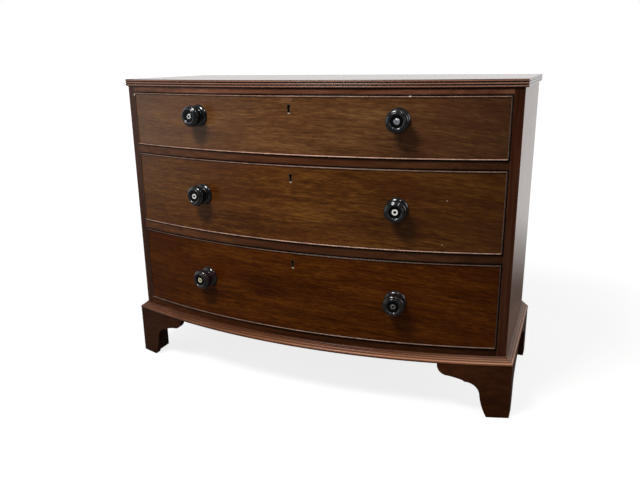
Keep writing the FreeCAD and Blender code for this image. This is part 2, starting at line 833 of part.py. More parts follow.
def overall_front():
    """The foremost point of the chest: a knob's lip or the middle of the base moulding."""
    lip = ((knob_length - knob_lip_round) * math.cos(knob_angle)
           + knob_lip_radius * math.sin(knob_angle) + knob_lip_round)
    return min(bow_y(knob_spacing_half) - lip, -bow_rise - moulding_projection)


all_nodes = make_carcase()
for drawer_name in openings:
    all_nodes.update(make_drawer(drawer_name))

origin_y = (overall_front() + side_depth) / 2
os.makedirs("parts", exist_ok=True)
for node, pieces in all_nodes.items():
    solids = []
    for piece in (pieces if isinstance(pieces, list) else [pieces]):
        solids += piece.Solids
    shape = Part.makeCompound(solids) if len(solids) > 1 else solids[0]
    shape.translate(Vector(0, -origin_y, 0))
    shape.exportStep("parts/" + node + ".step")
    print(node, len(solids), "valid" if shape.isValid() else "INVALID", round(shape.Volume))
print("corner line at y =", round(-origin_y, 3))
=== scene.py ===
import math
import random
import bmesh
import bpy
from mathutils import Matrix, Vector


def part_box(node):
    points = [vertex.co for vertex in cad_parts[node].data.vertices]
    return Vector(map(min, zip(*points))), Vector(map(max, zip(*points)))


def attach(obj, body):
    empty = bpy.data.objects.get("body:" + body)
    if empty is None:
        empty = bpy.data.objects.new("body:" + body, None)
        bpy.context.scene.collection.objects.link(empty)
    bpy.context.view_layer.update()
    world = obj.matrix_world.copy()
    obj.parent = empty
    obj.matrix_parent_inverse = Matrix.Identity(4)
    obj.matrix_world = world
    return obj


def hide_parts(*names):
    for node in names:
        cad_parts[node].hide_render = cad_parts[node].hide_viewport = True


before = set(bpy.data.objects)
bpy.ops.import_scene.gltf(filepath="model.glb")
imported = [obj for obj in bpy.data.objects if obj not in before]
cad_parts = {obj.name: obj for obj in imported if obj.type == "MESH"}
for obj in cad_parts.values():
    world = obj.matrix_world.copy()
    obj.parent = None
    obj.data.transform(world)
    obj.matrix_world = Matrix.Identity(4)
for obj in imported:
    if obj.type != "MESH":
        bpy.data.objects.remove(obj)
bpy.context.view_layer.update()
print("frame loaded with", len(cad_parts), "parts")


class Wire:
    # a socket that can be added, multiplied and so on, each time through a Math node
    def __init__(self, finish, socket):
        self.finish = finish
        self.socket = socket

    def maths(self, operation, first, second=0.0, clamp=False):
        settings = {"operation": operation, "use_clamp": clamp}
        return self.finish.node("ShaderNodeMath", settings, {0: first, 1: second})

    def __add__(self, other):
        return self.maths("ADD", self, other)

    def __radd__(self, other):
        return self.maths("ADD", other, self)

    def __sub__(self, other):
        return self.maths("SUBTRACT", self, other)

    def __rsub__(self, other):
        return self.maths("SUBTRACT", other, self)

    def __mul__(self, other):
        return self.maths("MULTIPLY", self, other)

    def __rmul__(self, other):
        return self.maths("MULTIPLY", other, self)

    def __truediv__(self, other):
        return self.maths("DIVIDE", self, other)

    def __rtruediv__(self, other):
        return self.maths("DIVIDE", other, self)

    def __pow__(self, other):
        return self.maths("POWER", self, other)

    def __rpow__(self, other):
        return self.maths("POWER", other, self)

    def __abs__(self):
        return self.maths("ABSOLUTE", self)

    def above(self, limit):
        return self.maths("GREATER_THAN", self, limit)

    def atLeast(self, limit):
        return self.maths("MAXIMUM", self, limit)

    def atMost(self, limit):
        return self.maths("MINIMUM", self, limit)

    def clipped(self):
        return self.maths("ADD", self, 0.0, clamp=True)

    def rising(self, low, high):
        # 0 under low, 1 over high, straight in between
        return ((self - low) / (high - low)).clipped()

    def spread(self, first, last):
        # 0 becomes the first value and 1 the last
        return first + self * (last - first)

    def wave(self, turns):
        # 1 at each whole turn and 0 halfway to the next
        return self.maths("COSINE", self * (2 * math.pi * turns)).rising(-1, 1)


class Finish:
    # the nodes of one material or of the world
    def __init__(self, owner):
        owner.use_nodes = True
        self.owner = owner
        self.tree = owner.node_tree
        self.tree.nodes.clear()

    def node(self, kind, settings=None, sockets=None, out=0):
        made = self.tree.nodes.new(kind)
        for key, value in (settings or {}).items():
            if key == "stops":
                self.setStops(made.color_ramp, value)
            else:
                setattr(made, key, value)
        for key, value in (sockets or {}).items():
            socket = made.inputs[key]
            if isinstance(value, Wire):
                self.tree.links.new(value.socket, socket)
            else:
                socket.default_value = (*value, 1.0) if socket.type == "RGBA" else value
        return Wire(self, made.outputs[out]) if made.outputs else made

    def setStops(self, ramp, stops):
        while len(ramp.elements) < len(stops):
            ramp.elements.new(1.0)
        for element, (place, colour) in zip(ramp.elements, stops):
            element.position = place
            element.color = (*colour, 1.0)

    def another(self, wire, out):
        # another output of the node that a wire comes from
        return Wire(self, wire.socket.node.outputs[out])

    def place(self):
        # where a point of the surface is, in metres
        return self.node("ShaderNodeTexCoord", out="Object")

    def normal(self):
        return self.node("ShaderNodeNewGeometry", out="Normal")

    def parts(self, axes, vector=None):
        # the named parts of a vector, or of the point's place
        split = self.node("ShaderNodeSeparateXYZ", {}, {0: vector or self.place()})
        return [self.another(split, axis.upper()) for axis in axes]

    def part(self, axis, vector=None):
        return self.parts(axis, vector)[0]

    def facing(self, axis):
        # 1 on faces that look along the axis and 0 on those that lie along it
        return abs(self.part(axis, self.normal()))

    def together(self, x, y, z):
        return self.node("ShaderNodeCombineXYZ", {}, {0: x, 1: y, 2: z})

    def noise(self, vector, size=1.0, detail=2.0, rough=0.5, bend=0.0, cut=None):
        sockets = {
            "Vector": vector,
            "Scale": size,
            "Detail": detail,
            "Roughness": rough,
            "Distortion": bend,
        }
        made = self.node("ShaderNodeTexNoise", {}, sockets)
        return made.rising(*cut) if cut else made

    def ramp(self, factor, stops):
        return self.node("ShaderNodeValToRGB", {"stops": stops}, {0: factor})

    def toned(self, grain, look, reach):
        # the three tones of a wood, the middle one where the grain is at half
        stops = [(0.5 - reach, look["dark"]), (0.5, look["middle"]), (0.5 + reach, look["light"])]
        return self.ramp(grain, stops)

    def mixed(self, factor, first, second, kind="MIX"):
        # a Mix node takes its two colours at sockets 6 and 7 and gives one at 2
        settings = {"data_type": "RGBA", "blend_type": kind}
        return self.node("ShaderNodeMix", settings, {0: factor, 6: first, 7: second}, out=2)

    def bump(self, height, look, normal=None):
        sockets = {"Strength": look["relief"], "Distance": look["reliefDepth"], "Height": height}
        if normal is not None:
            sockets["Normal"] = normal
        return self.node("ShaderNodeBump", {}, sockets)

    def rounded(self, radius):
        # a normal that turns softly round sharp edges
        return self.node("ShaderNodeBevel", {"samples": 4}, {"Radius": radius})

    def edge(self, rounded):
        # how far the rounded normal leaves the plain one, which is most at a sharp edge
        settings = {"operation": "DOT_PRODUCT"}
        alike = self.node("ShaderNodeVectorMath", settings, {0: rounded, 1: self.normal()}, out="Value")
        return 1 - alike

    def close(self, sockets):
        shader = self.node("ShaderNodeBsdfPrincipled", {}, sockets)
        self.node("ShaderNodeOutputMaterial", {}, {"Surface": shader})
        return self.owner


def newFinish(name):
    return Finish(bpy.data.materials.new(name))


def paint(material, *nodeNames):
    for nodeName in nodeNames:
        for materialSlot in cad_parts[nodeName].material_slots:
            materialSlot.material = material


# places on the chest, in metres
topLow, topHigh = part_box("top_board")
mouldingLow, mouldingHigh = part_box("base_moulding_front")
bowRadius = 1.730
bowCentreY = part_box("rail_top")[0][1] + bowRadius
knobApart = 0.260            # axis of a knob from the middle of the chest
knobLean = math.asin(knobApart / bowRadius)      # how far it turns outwards with the bow, radians
knobFaceY = bowCentreY - bowRadius * math.cos(knobLean)


def knobHeight(drawer):
    low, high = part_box("drawer_%s_knobs" % drawer)
    return (low[2] + high[2]) / 2


# the woods, each with the tones of its grain and the colour that its edges rub to, which also serves as
# painted highlight on the top's reeds and the moulding's roll and as painted sheen on the sides
carcaseWood = {
    "dark": (0.0260, 0.0072, 0.0018),
    "middle": (0.0590, 0.0190, 0.0062),
    "light": (0.1060, 0.0405, 0.0136),
    "wearAndHighlight": (0.190, 0.0900, 0.0480),
    "toneReach": 0.16,       # how far either side of half the grain is fully dark or light
    "bands": 7.0,            # broad bands across a board, per metre
    "lines": 120.0,          # fine lines per metre
    "lineShare": 0.45,       # of the lines in the grain, where the bands have the rest
    "stretch": 26.0,         # how much longer than wide the lines are
    "bandShorter": 3.0,      # how many times less than the lines the bands are stretched
    "bandNoise": {"detail": 3.0, "rough": 0.55, "bend": 0.7},
    "lineNoise": {"detail": 3.0, "rough": 0.60, "bend": 0.25},
    "poreNoise": {"size": 5.0, "detail": 1.0, "cut": (0.60, 0.72)},
    "poreShare": 0.45,
    "scuffNoise": {"size": 24.0, "detail": 3.0, "rough": 0.60, "cut": (0.38, 0.62)},
    "edge": 0.0016,          # how far wear reaches round an edge
    "edgeGain": 4.0,         # how soon it is at its full strength
    "wornShare": 0.40,
    "roughness": 0.34,
    "lineRoughness": 0.16,
    "poreRoughness": 0.10,
    "specular": 0.12,
    "coat": 0.0,
    "coatRoughness": 0.10,
    "coatFacing": None,      # axis and least lean of the faces that hold the polish, or None for all
    "coatSoftness": 0.2,     # the lean over which the polish fades
    "relief": 0.12,
    "reliefDepth": 0.0003,
    "shade": 0.45,           # painted shade: how much darker the right end of a front board is
    "leftShade": 0.0,
    "fadedAndSheen": 0.0,            # how far the polished faces are lightened, partly by fading and partly with painted sheen
}
# painted light: brighter tones than the other rails, making up for the shadow that the top's overhang casts
# on this rail
litTopRailWood = {
    **carcaseWood,
    "dark": (0.050, 0.0150, 0.0052),
    "middle": (0.122, 0.0450, 0.0225),
    "light": (0.210, 0.0930, 0.0500),
    "shade": 0.12,
    "leftShade": 0.10,
}
bottomRailWood = {
    **carcaseWood,
    "dark": (0.0200, 0.0054, 0.0015),
    "middle": (0.0460, 0.0140, 0.0042),
    "light": (0.0820, 0.0290, 0.0093),
    "wearAndHighlight": (0.150, 0.0700, 0.0370),
    "specular": 0.04,
    "shade": 0.62,
}
topWood = {
    **carcaseWood,
    "dark": (0.026, 0.0070, 0.0032),
    "middle": (0.085, 0.0290, 0.0150),
    "light": (0.150, 0.0600, 0.0330),
    "wearAndHighlight": (0.400, 0.2000, 0.1320),
    "wornShare": 0.30,
    "relief": 0.03,
    "specular": 0.25,
    "coat": 0.62,
    "coatFacing": ("z", 0.8),
    "shade": 0.0,
}
sideWood = {
    **carcaseWood,
    "dark": (0.0150, 0.0036, 0.0013),
    "middle": (0.0370, 0.0098, 0.0040),
    "light": (0.0760, 0.0280, 0.0120),
    "specular": 0.10,
    "coat": 0.32,
    "coatFacing": ("x", 0.9),
    "shade": 0.0,
    "fadedAndSheen": 0.62,
}
mouldingWood = {
    **carcaseWood,
    "dark": (0.032, 0.0088, 0.0028),
    "middle": (0.114, 0.0375, 0.0140),
    "light": (0.205, 0.0790, 0.0330),
    "wearAndHighlight": (0.430, 0.1850, 0.0960),
    "poreShare": 0.15,
    "edge": 0.0009,
    "wornShare": 0.50,
    "roughness": 0.32,
    "shade": 0.0,
}
footWood = {
    **carcaseWood,
    "dark": (0.0140, 0.0034, 0.0010),
    "middle": (0.0320, 0.0082, 0.0020),
    "light": (0.0500, 0.0150, 0.0042),
    "specular": 0.07,
    "wornShare": 0.14,
    "shade": 0.0,
    "leftShade": 0.30,
}
oakWood = {
    **carcaseWood,
    "dark": (0.115, 0.058, 0.026),
    "middle": (0.215, 0.122, 0.058),
    "light": (0.330, 0.205, 0.105),
    "wearAndHighlight": (0.420, 0.285, 0.160),
    "bands": 11.0,
    "lines": 170.0,
    "stretch": 30.0,
    "edge": 0.0022,
    "wornShare": 0.35,
    "roughness": 0.62,
    "specular": 0.30,
    "relief": 0.30,
    "shade": 0.0,
}
pineWood = {
    **carcaseWood,
    "dark": (0.150, 0.076, 0.030),
    "middle": (0.275, 0.155, 0.068),
    "light": (0.385, 0.240, 0.118),
    "wearAndHighlight": (0.450, 0.310, 0.170),
    "bands": 16.0,
    "lines": 90.0,
    "stretch": 22.0,
    "edge": 0.0022,
    "wornShare": 0.30,
    "roughness": 0.72,
    "specular": 0.25,
    "relief": 0.35,
    "shade": 0.0,
}
# pine much darker than the rest, for the glue blocks inside the feet
darkPine = {
    **pineWood,
    "dark": (0.012, 0.0040, 0.0020),
    "middle": (0.028, 0.0100, 0.0050),
    "light": (0.050, 0.0200, 0.0100),
    "wearAndHighlight": (0.080, 0.0400, 0.0200),
}
# painted shade: where the front darkens, in metres from its middle to the right and to the left
endShade = {
    "colour": (0.0, 0.0, 0.0),
    "right": (0.05, 0.50),
    "left": (0.25, 0.50),
}


def alongGrain(finish, grain):
    # the board's own directions: along the grain, then the two across it
    return finish.parts({"x": "xzy", "y": "yzx", "z": "zxy"}[grain])


def shaded(finish, colour, right, left=0.0):
    # painted shade, darker towards the ends of the front
    x = finish.part("x")
    ends = x.rising(*endShade["right"]) * right
    if left:
        ends = ends + (0 - x).rising(*endShade["left"]) * left
    return finish.mixed(ends, colour, endShade["colour"])


def polishedFaces(finish, look):
    # 1 on the faces that hold the polish
    if look["coatFacing"] is None:
        return 1.0
    axis, least = look["coatFacing"]
    return finish.facing(axis).rising(least - look["coatSoftness"], least)


# the half round reeds on the edge of the top, with painted shade in the grooves and wear with a painted
# highlight on the crowns; each cut is where a mark starts and where it is full
topReeds = {
    "count": 3,
    "groove": (0.004, 0.0006, 0.0003),
    "grooveCut": (0.24, 0.66),       # of the way from a crown into a groove
    "grooveShare": 0.95,
    "crownCut": (0.55, 0.98),        # of the way from a groove onto a crown
    "crownShare": 0.50,
    "polishCut": (0.40, 0.75),       # the same, for the polish on the reeds at the sides
    "polishShare": 0.90,
    "levelCut": (0.80, 0.97),        # lean at which a face counts as level
    "sidewaysCut": (0.30, 0.60),     # lean at which it counts as facing sideways
}


def reedLines(finish):
    # 1 on the crown of each reed and 0 in the grooves, which faces are upright, and which look sideways
    crown = 1 - finish.part("z").rising(topLow[2], topHigh[2]).wave(topReeds["count"])
    upright = 1 - finish.facing("z").rising(*topReeds["levelCut"])
    return crown, upright, finish.facing("x").rising(*topReeds["sidewaysCut"])


# heights are shares of the moulding's own height, and stretches along it are in metres from the middle
mouldingRoll = {
    "foot": (0.05, 0.17),            # painted shade under this
    "rollFoot": (0.14, 0.26),        # the rubbed roll starts here
    "rollTop": (0.36, 0.80),         # and ends here
    "rubbedAndLitAlong": (-0.40, 0.25),
    "rubbed": (0.10, 0.66),          # how rubbed the roll is at the two ends of that stretch, brighter to the right with painted light
    # painted highlight near the right end of the roll
    "rollHighlight": (0.480, 0.3050, 0.2250),
    "rollHighlightAlong": (0.25, 0.45),
    "rollHighlightShare": 0.22,
    "lineTurns": 4.5,
    "lineCut": (0.35, 0.85),
    "lineShade": 0.74,
    "leftAlong": (-0.50, 0.05),
    "leftShade": 0.30,
    "ledge": (0.74, 0.92),           # the dark joint over the roll
    "ledgeShade": 0.60,
}


def rolledMoulding(finish, colour, look):
    # a rubbed roll, brightened to the right with painted light and a painted highlight, with painted shade in
    # fine lines along it and at its left end, between a dark joint and a foot in painted shade
    x, z = finish.parts("xz")
    height = z.rising(mouldingLow[2], mouldingHigh[2])
    overFoot = height.rising(*mouldingRoll["rollFoot"])
    roll = overFoot * (1 - height.rising(*mouldingRoll["rollTop"]))
    rubbed = roll * x.rising(*mouldingRoll["rubbedAndLitAlong"]).spread(*mouldingRoll["rubbed"])
    rollHighlight = overFoot * x.rising(*mouldingRoll["rollHighlightAlong"]) * mouldingRoll["rollHighlightShare"]
    waves = height.wave(mouldingRoll["lineTurns"])
    lines = waves.rising(*mouldingRoll["lineCut"]) * mouldingRoll["lineShade"]
    left = (1 - x.rising(*mouldingRoll["leftAlong"])) * mouldingRoll["leftShade"]
    ledge = height.rising(*mouldingRoll["ledge"]) * mouldingRoll["ledgeShade"]
    foot = 1 - height.rising(*mouldingRoll["foot"])
    colour = finish.mixed(rubbed, colour, look["wearAndHighlight"])
    colour = finish.mixed(rollHighlight, colour, mouldingRoll["rollHighlight"])
    for shade in (lines, left, ledge, foot):
        colour = finish.mixed(shade, colour, look["dark"])
    return colour


# painted shade along the rails where the drawers meet them, standing in for the shadow in the gaps, in metres
railGapShade = {
    "colour": (0.0035, 0.0008, 0.0003),
    "lower": (0.0005, 0.0035),       # from the lower edge, between which it fades out
    "upper": (0.0020, 0.0065),       # the same from the upper edge
    "along": (-0.45, -0.05),
    "share": (0.16, 0.82),           # at the two ends of that stretch
}


def gapShadedEdges(finish, colour, low, high):
    # painted shade along the lower and upper edges, stronger to the right
    x, z = finish.parts("xz")
    over = 1 - (z - low[2]).rising(*railGapShade["lower"])
    under = 1 - (high[2] - z).rising(*railGapShade["upper"])
    share = x.rising(*railGapShade["along"]).spread(*railGapShade["share"])
    return finish.mixed(over.atLeast(under) * share, colour, railGapShade["colour"])


def grainOf(finish, look, grain):
    # the fine lines, the pores, and the colour that they make with the bands
    along, across, through = alongGrain(finish, grain)

    def stretched(count, stretch):
        return finish.together(along * (count / stretch), across * count, through * count)

    linePlace = stretched(look["lines"], look["stretch"])
    bandPlace = stretched(look["bands"], look["stretch"] / look["bandShorter"])
    lines = finish.noise(linePlace, **look["lineNoise"])
    bands = finish.noise(bandPlace, **look["bandNoise"])
    pores = finish.noise(linePlace, **look["poreNoise"])
    tone = bands * (1 - look["lineShare"]) + lines * look["lineShare"]
    colour = finish.toned(tone, look, look["toneReach"])
    return lines, pores, finish.mixed(pores * look["poreShare"], colour, look["dark"])


def woodFinish(name, look, grain, reeded=False, rolled=False, railBox=None):
    # reeded is for the edge of the top, rolled for the base moulding, and a rail's box tells where the
    # painted shade along its edges goes
    finish = newFinish(name)
    lines, pores, colour = grainOf(finish, look, grain)
    rounded = finish.rounded(look["edge"])
    scuffs = finish.noise(finish.place(), **look["scuffNoise"])
    wearAndHighlight = (finish.edge(rounded) * look["edgeGain"]).clipped() * scuffs * look["wornShare"]
    polished = polishedFaces(finish, look)
    if reeded:
        crown, upright, sideways = reedLines(finish)
        # painted shade in the grooves, and wear with a painted highlight on the crowns
        groove = (1 - crown).rising(*topReeds["grooveCut"]) * upright * topReeds["grooveShare"]
        crest = crown.rising(*topReeds["crownCut"]) * upright * (1 - sideways) * topReeds["crownShare"]
        colour = finish.mixed(groove, colour, topReeds["groove"])
        wearAndHighlight = (wearAndHighlight + crest).clipped()
        polished = polished.atLeast(sideways * crown.rising(*topReeds["polishCut"]) * topReeds["polishShare"])
    colour = finish.mixed(wearAndHighlight, colour, look["wearAndHighlight"])
    if rolled:
        colour = rolledMoulding(finish, colour, look)
    if look["shade"] or look["leftShade"]:
        colour = shaded(finish, colour, look["shade"], look["leftShade"])
    if railBox is not None:
        colour = gapShadedEdges(finish, colour, *railBox)
    if look["fadedAndSheen"]:
        colour = finish.mixed(polished * look["fadedAndSheen"], colour, look["wearAndHighlight"])
    roughness = look["roughness"] + (lines - 0.5) * look["lineRoughness"] + pores * look["poreRoughness"]
    return finish.close({
        "Base Color": colour,
        "Roughness": roughness,
        "Specular IOR Level": look["specular"],
        "Coat Weight": polished * look["coat"],
        "Coat Roughness": look["coatRoughness"],
        "Normal": finish.bump(lines - pores, look, rounded),
    })


rails = {
    "rail_top": litTopRailWood,
    "rail_upper": carcaseWood,
    "rail_lower": carcaseWood,
    "rail_bottom": bottomRailWood,
}
for rail, look in rails.items():
    paint(woodFinish("mahogany_" + rail, look, "x", railBox=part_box(rail)), rail)
paint(woodFinish("mahogany_top", topWood, "x", reeded=True), "top_board")
paint(woodFinish("mahogany_side", sideWood, "z"), "side_left", "side_right")
paint(woodFinish("mahogany_moulding", mouldingWood, "x", rolled=True), "base_moulding_front")
paint(woodFinish("mahogany_side_moulding", mouldingWood, "y", rolled=True),
      "base_moulding_left", "base_moulding_right")
paint(woodFinish("mahogany_foot", footWood, "x"), "foot_front_left_face", "foot_front_right_face")
paint(woodFinish("mahogany_side_foot", footWood, "y"),
      "foot_front_left_return", "foot_front_right_return", "foot_back_left", "foot_back_right")

oakAlong = {grain: woodFinish("oak_" + grain, oakWood, grain) for grain in "xy"}
pineAlong = {grain: woodFinish("pine_" + grain, pineWood, grain) for grain in "xz"}
paint(oakAlong["y"], "drawer_runners", "kickers")
paint(oakAlong["x"], "drawer_stops")
paint(pineAlong["x"], "rail_back", "dust_board_upper", "dust_board_lower", "bottom_board", "foot_back_braces")
paint(pineAlong["z"], "back_boards")
paint(woodFinish("dark_pine", darkPine, "z"), "foot_blocks")
print("carcase finished")


# small marks of use, each with its middle in x and z, half its width and height, its strength and colour
paleMark = (0.62, 0.52, 0.42)
rubMark = (0.150, 0.0620, 0.0300)
drawerMarks = {
    "upper": [
        (-0.0048, 0.7552, 0.0140, 0.0061, 0.55, rubMark),
    ],
    "middle": [
        (0.3707, 0.5340, 0.0012, 0.0012, 0.55, paleMark),
        (0.3638, 0.4300, 0.0011, 0.0011, 0.45, paleMark),
    ],
    "lower": [
        (0.4168, 0.2400, 0.0006, 0.0130, 0.28, rubMark),
        (0.2838, 0.2835, 0.0016, 0.0016, 0.75, paleMark),
    ],
}
beadMarks = [
    (-0.4952, 0.7606, 0.0020, 0.0020, 0.95, paleMark),
    (0.2843, 0.7656, 0.0026, 0.0020, 0.75, paleMark),
]
markShape = {
    "facing": (0.5, 0.8),    # lean towards the front between which marks fade in
    "squareness": 4.0,       # 2 would be an ellipse
    "crispness": 1.6,
}


def markedWith(finish, colour, marks):
    x, z = finish.parts("xz")
    facing = finish.facing("y").rising(*markShape["facing"])
    squareness = markShape["squareness"]
    for markX, markZ, halfWidth, halfHeight, strength, tint in marks:
        away = abs((x - markX) / halfWidth) ** squareness + abs((z - markZ) / halfHeight) ** squareness
        shown = (markShape["crispness"] - away).clipped() * facing * strength
        colour = finish.mixed(shown, colour, tint)
    return colour


beadLook = {
    # the crest is partly rubbed wood and partly painted highlight; the flank is painted shade, black as the
    # gap beside it
    "crest": (0.520, 0.305, 0.215),
    "shadedFlank": (0.0055, 0.0015, 0.0006),
    "crestCut": (0.0012, 0.0019),    # metres in from the bead's outer edge between which its crest starts
    "facingCut": (0.35, 0.75),       # lean towards the front between which rubbing and painted highlight start
    "endCut": (0.0030, 0.0040),      # metres in from the ends between which the upright beads stop
    "uprightShare": 0.13,            # of the rubbing and painted highlight that the upright beads show
    "leftAlong": (-0.45, 0.0),
    "leftLitShare": 0.60,               # of the rubbing and painted highlight that is left at the left end
    "wearNoise": {"size": 38.0, "detail": 3.0, "rough": 0.65, "cut": (0.25, 0.62)},
    "leastWear": 0.40,
    "shade": 0.15,
    "roughness": 0.28,
    "wearRoughness": 0.10,
    "specular": 0.20,
    "relief": 0.05,
    "reliefDepth": 0.0003,
}
# how strongly each drawer's bead crests show the rubbing and painted highlight
beadRubbedAndLit = {"upper": 1.0, "middle": 0.90, "lower": 0.50}


def beadFinish(name, look, share, low, high):
    # the rubbed crest of the bead beside the veneer, lightened further with painted highlight, and its outer
    # flank painted black as shade from the gap
    finish = newFinish(name)
    x, z = finish.parts("xz")
    fromEnds = high[0] - abs(x)
    inwards = (z - low[2]).atMost(high[2] - z).atMost(fromEnds)
    crest = inwards.rising(*look["crestCut"]) * finish.facing("y").rising(*look["facingCut"])
    level = fromEnds.rising(*look["endCut"]).spread(look["uprightShare"], 1)
    left = x.rising(*look["leftAlong"]).spread(look["leftLitShare"], 1)
    wear = finish.noise(finish.place(), **look["wearNoise"])
    # the rubbed crest with its painted highlight, fainter at the left end and on the upright beads
    rubbed = crest * wear.spread(look["leastWear"], 1) * level * left * share
    colour = finish.mixed(rubbed, look["shadedFlank"], look["crest"])
    return finish.close({
        "Base Color": markedWith(finish, shaded(finish, colour, look["shade"]), beadMarks),
        "Roughness": look["roughness"] + wear * look["wearRoughness"],
        "Specular IOR Level": look["specular"],
        "Normal": finish.bump(wear, look),
    })


drawerVeneer = {
    "upper": {
        "dark": (0.042, 0.0145, 0.0046),
        "middle": (0.092, 0.0350, 0.0105),
        "light": (0.172, 0.0780, 0.0250),
        "red": (0.085, 0.0230, 0.0085),
        "specular": 0.22,
        "shade": 0.38,
        "leftShade": 0.20,
        "contrast": 0.94,
        "calmLeft": 0.38,    # how much contrast is lost at the left end
        "calmRight": 0.0,
    },
    "middle": {
        "dark": (0.033, 0.0088, 0.0012),
        "middle": (0.074, 0.0232, 0.0030),
        "light": (0.142, 0.0540, 0.0085),
        "red": (0.066, 0.0145, 0.0030),
        "specular": 0.16,
        "shade": 0.36,
        "leftShade": 0.10,
        "contrast": 1.12,
        "calmLeft": 0.30,
        "calmRight": 0.22,
    },
    "lower": {
        "dark": (0.026, 0.0052, 0.0004),
        "middle": (0.053, 0.0125, 0.0008),
        "light": (0.098, 0.0290, 0.0026),
        "red": (0.048, 0.0082, 0.0012),
        "specular": 0.06,
        "shade": 0.02,
        "leftShade": 0.12,
        "contrast": 1.22,
        "calmLeft": 0.40,
        "calmRight": 0.04,
    },
}
veneerFigure = {
    "toneReach": 0.092,
    "lean": 0.17,            # how far the figure sinks towards the right end
    "sway": 0.022,           # how far it wanders up and down, in metres
    "shares": {"bands": 0.24, "flame": 0.26, "flecks": 0.30, "fine": 0.20},
    "calmLeft": (-0.48, -0.12),      # the stretches over which the contrast calms
    "calmRight": (0.12, 0.48),
    "poreShare": 0.20,
    "blushShare": 0.42,
    "softEdge": 0.0015,
    "roughness": 0.33,
    "flameRoughness": 0.14,
    "relief": 0.10,
    "reliefDepth": 0.0002,
}
# for each noise: how many to the metre along the drawer and up it, its place in depth, and its other values
veneerNoises = {
    "sway": ((2.4, 5.0, 0.0), {}),
    "bands": ((2.8, 19.0, 0.0), {"detail": 3.0, "rough": 0.55, "bend": 0.3}),
    "flame": ((8.0, 108.0, 3.0), {"detail": 4.0, "rough": 0.66, "bend": 0.35}),
    "flecks": ((34.0, 250.0, 9.0), {"detail": 3.0, "rough": 0.70}),
    "fine": ((42.0, 560.0, 7.0), {"rough": 0.60}),
    "pores": ((110.0, 1100.0, 1.0), {"detail": 1.0, "cut": (0.60, 0.72)}),
    "blush": ((4.0, 11.0, 5.0), {"cut": (0.48, 0.66)}),
}


def veneerNoise(finish, x, height, kind):
    # the veneer follows the bow, so its figure is drawn over width and height alone
    (along, up, depth), values = veneerNoises[kind]
    return finish.noise(finish.together(x * along, height * up, depth), **values)


def veneerFinish(name, tones, marks):
    finish = newFinish(name)
    x, z = finish.parts("xz")
    right = x.atLeast(0.0)
    height = z + right * right * veneerFigure["lean"]
    height = height + (veneerNoise(finish, x, height, "sway") - 0.5) * veneerFigure["sway"]
    noises = {kind: veneerNoise(finish, x, height, kind) for kind in veneerNoises if kind != "sway"}
    tone = sum(noises[kind] * share for kind, share in veneerFigure["shares"].items())
    calmLeft = (1 - x.rising(*veneerFigure["calmLeft"])) * tones["calmLeft"]
    calmRight = x.rising(*veneerFigure["calmRight"]) * tones["calmRight"]
    tone = 0.5 + (tone - 0.5) * (tones["contrast"] - (calmLeft + calmRight))
    colour = finish.toned(tone, tones, veneerFigure["toneReach"])
    colour = finish.mixed(noises["pores"] * veneerFigure["poreShare"], colour, tones["dark"])
    colour = finish.mixed(noises["blush"] * veneerFigure["blushShare"], colour, tones["red"])
    colour = shaded(finish, colour, tones["shade"], tones["leftShade"])
    relief = noises["fine"] - noises["pores"]
    return finish.close({
        "Base Color": markedWith(finish, colour, marks),
        "Roughness": veneerFigure["roughness"] + (noises["flame"] - 0.5) * veneerFigure["flameRoughness"],
        "Specular IOR Level": tones["specular"],
        "Normal": finish.bump(relief, veneerFigure, finish.rounded(veneerFigure["softEdge"])),
    })


def onKnobFace(finish, height):
    # how far a point is across and up from its knob's axis
    x, y, z = finish.parts("xyz")
    across = (abs(x) - knobApart) * math.cos(knobLean) - (knobFaceY - y) * math.sin(knobLean)
    return across, z - height


def outOnKnob(finish):
    # how far a point is out from the drawer front, along its knob's axis
    x, y = finish.parts("xy")
    return (abs(x) - knobApart) * math.sin(knobLean) + (knobFaceY - y) * math.cos(knobLean)


# distances are in metres, from the knob's axis or out from the drawer front
knobLook = {
    "black": (0.0016, 0.0017, 0.0021),
    "rubbed": (0.0300, 0.0320, 0.0350),
    # painted shade: the dish is darker still than the ebonised black
    "dishShade": (0.0008, 0.0008, 0.0009),
    "patchNoise": {"size": 60.0, "detail": 3.0, "rough": 0.60, "cut": (0.35, 0.70)},
    "smearNoise": {"size": 140.0, "rough": 0.60},
    "lip": 0.0158,           # crest of the lip, from the axis
    "lipHalf": 0.0020,
    "lipOut": 0.0385,
    "lipRubbed": (0.35, 0.85),       # between the patches and on them
    "edgeGain": 3.0,
    "edgeShare": 0.15,
    "dish": 0.0143,
    "dishEdge": 0.0004,
    "dishOut": 0.0365,
    "dishShare": 0.90,
    "neckFoot": (0.010, 0.014),
    "neckHead": (0.030, 0.035),
    "grimeShare": 0.88,      # of the polish that is gone from the dish and the neck
    "softEdge": 0.0008,
    "roughness": (0.45, 0.65),
    "specular": 0.06,
    "coatRoughness": 0.14,
    "relief": 0.05,
    "reliefDepth": 0.0004,
}
# tint of the rubbed patches on the left and the right knob, how much of it they show, and the polish
knobTints = {
    "upper": {
        "left": (0.0055, 0.0065, 0.0095),
        "right": (0.0050, 0.0060, 0.0100),
        "patched": 0.50,
        "coat": 0.95,
    },
    "middle": {
        "left": (0.0060, 0.0066, 0.0062),
        "right": (0.0062, 0.0052, 0.0058),
        "patched": 0.35,
        "coat": 0.92,
    },
    "lower": {
        "left": (0.0260, 0.0085, 0.0105),
        "right": (0.0150, 0.0078, 0.0055),
        "patched": 0.85,
        "coat": 0.76,
    },
}


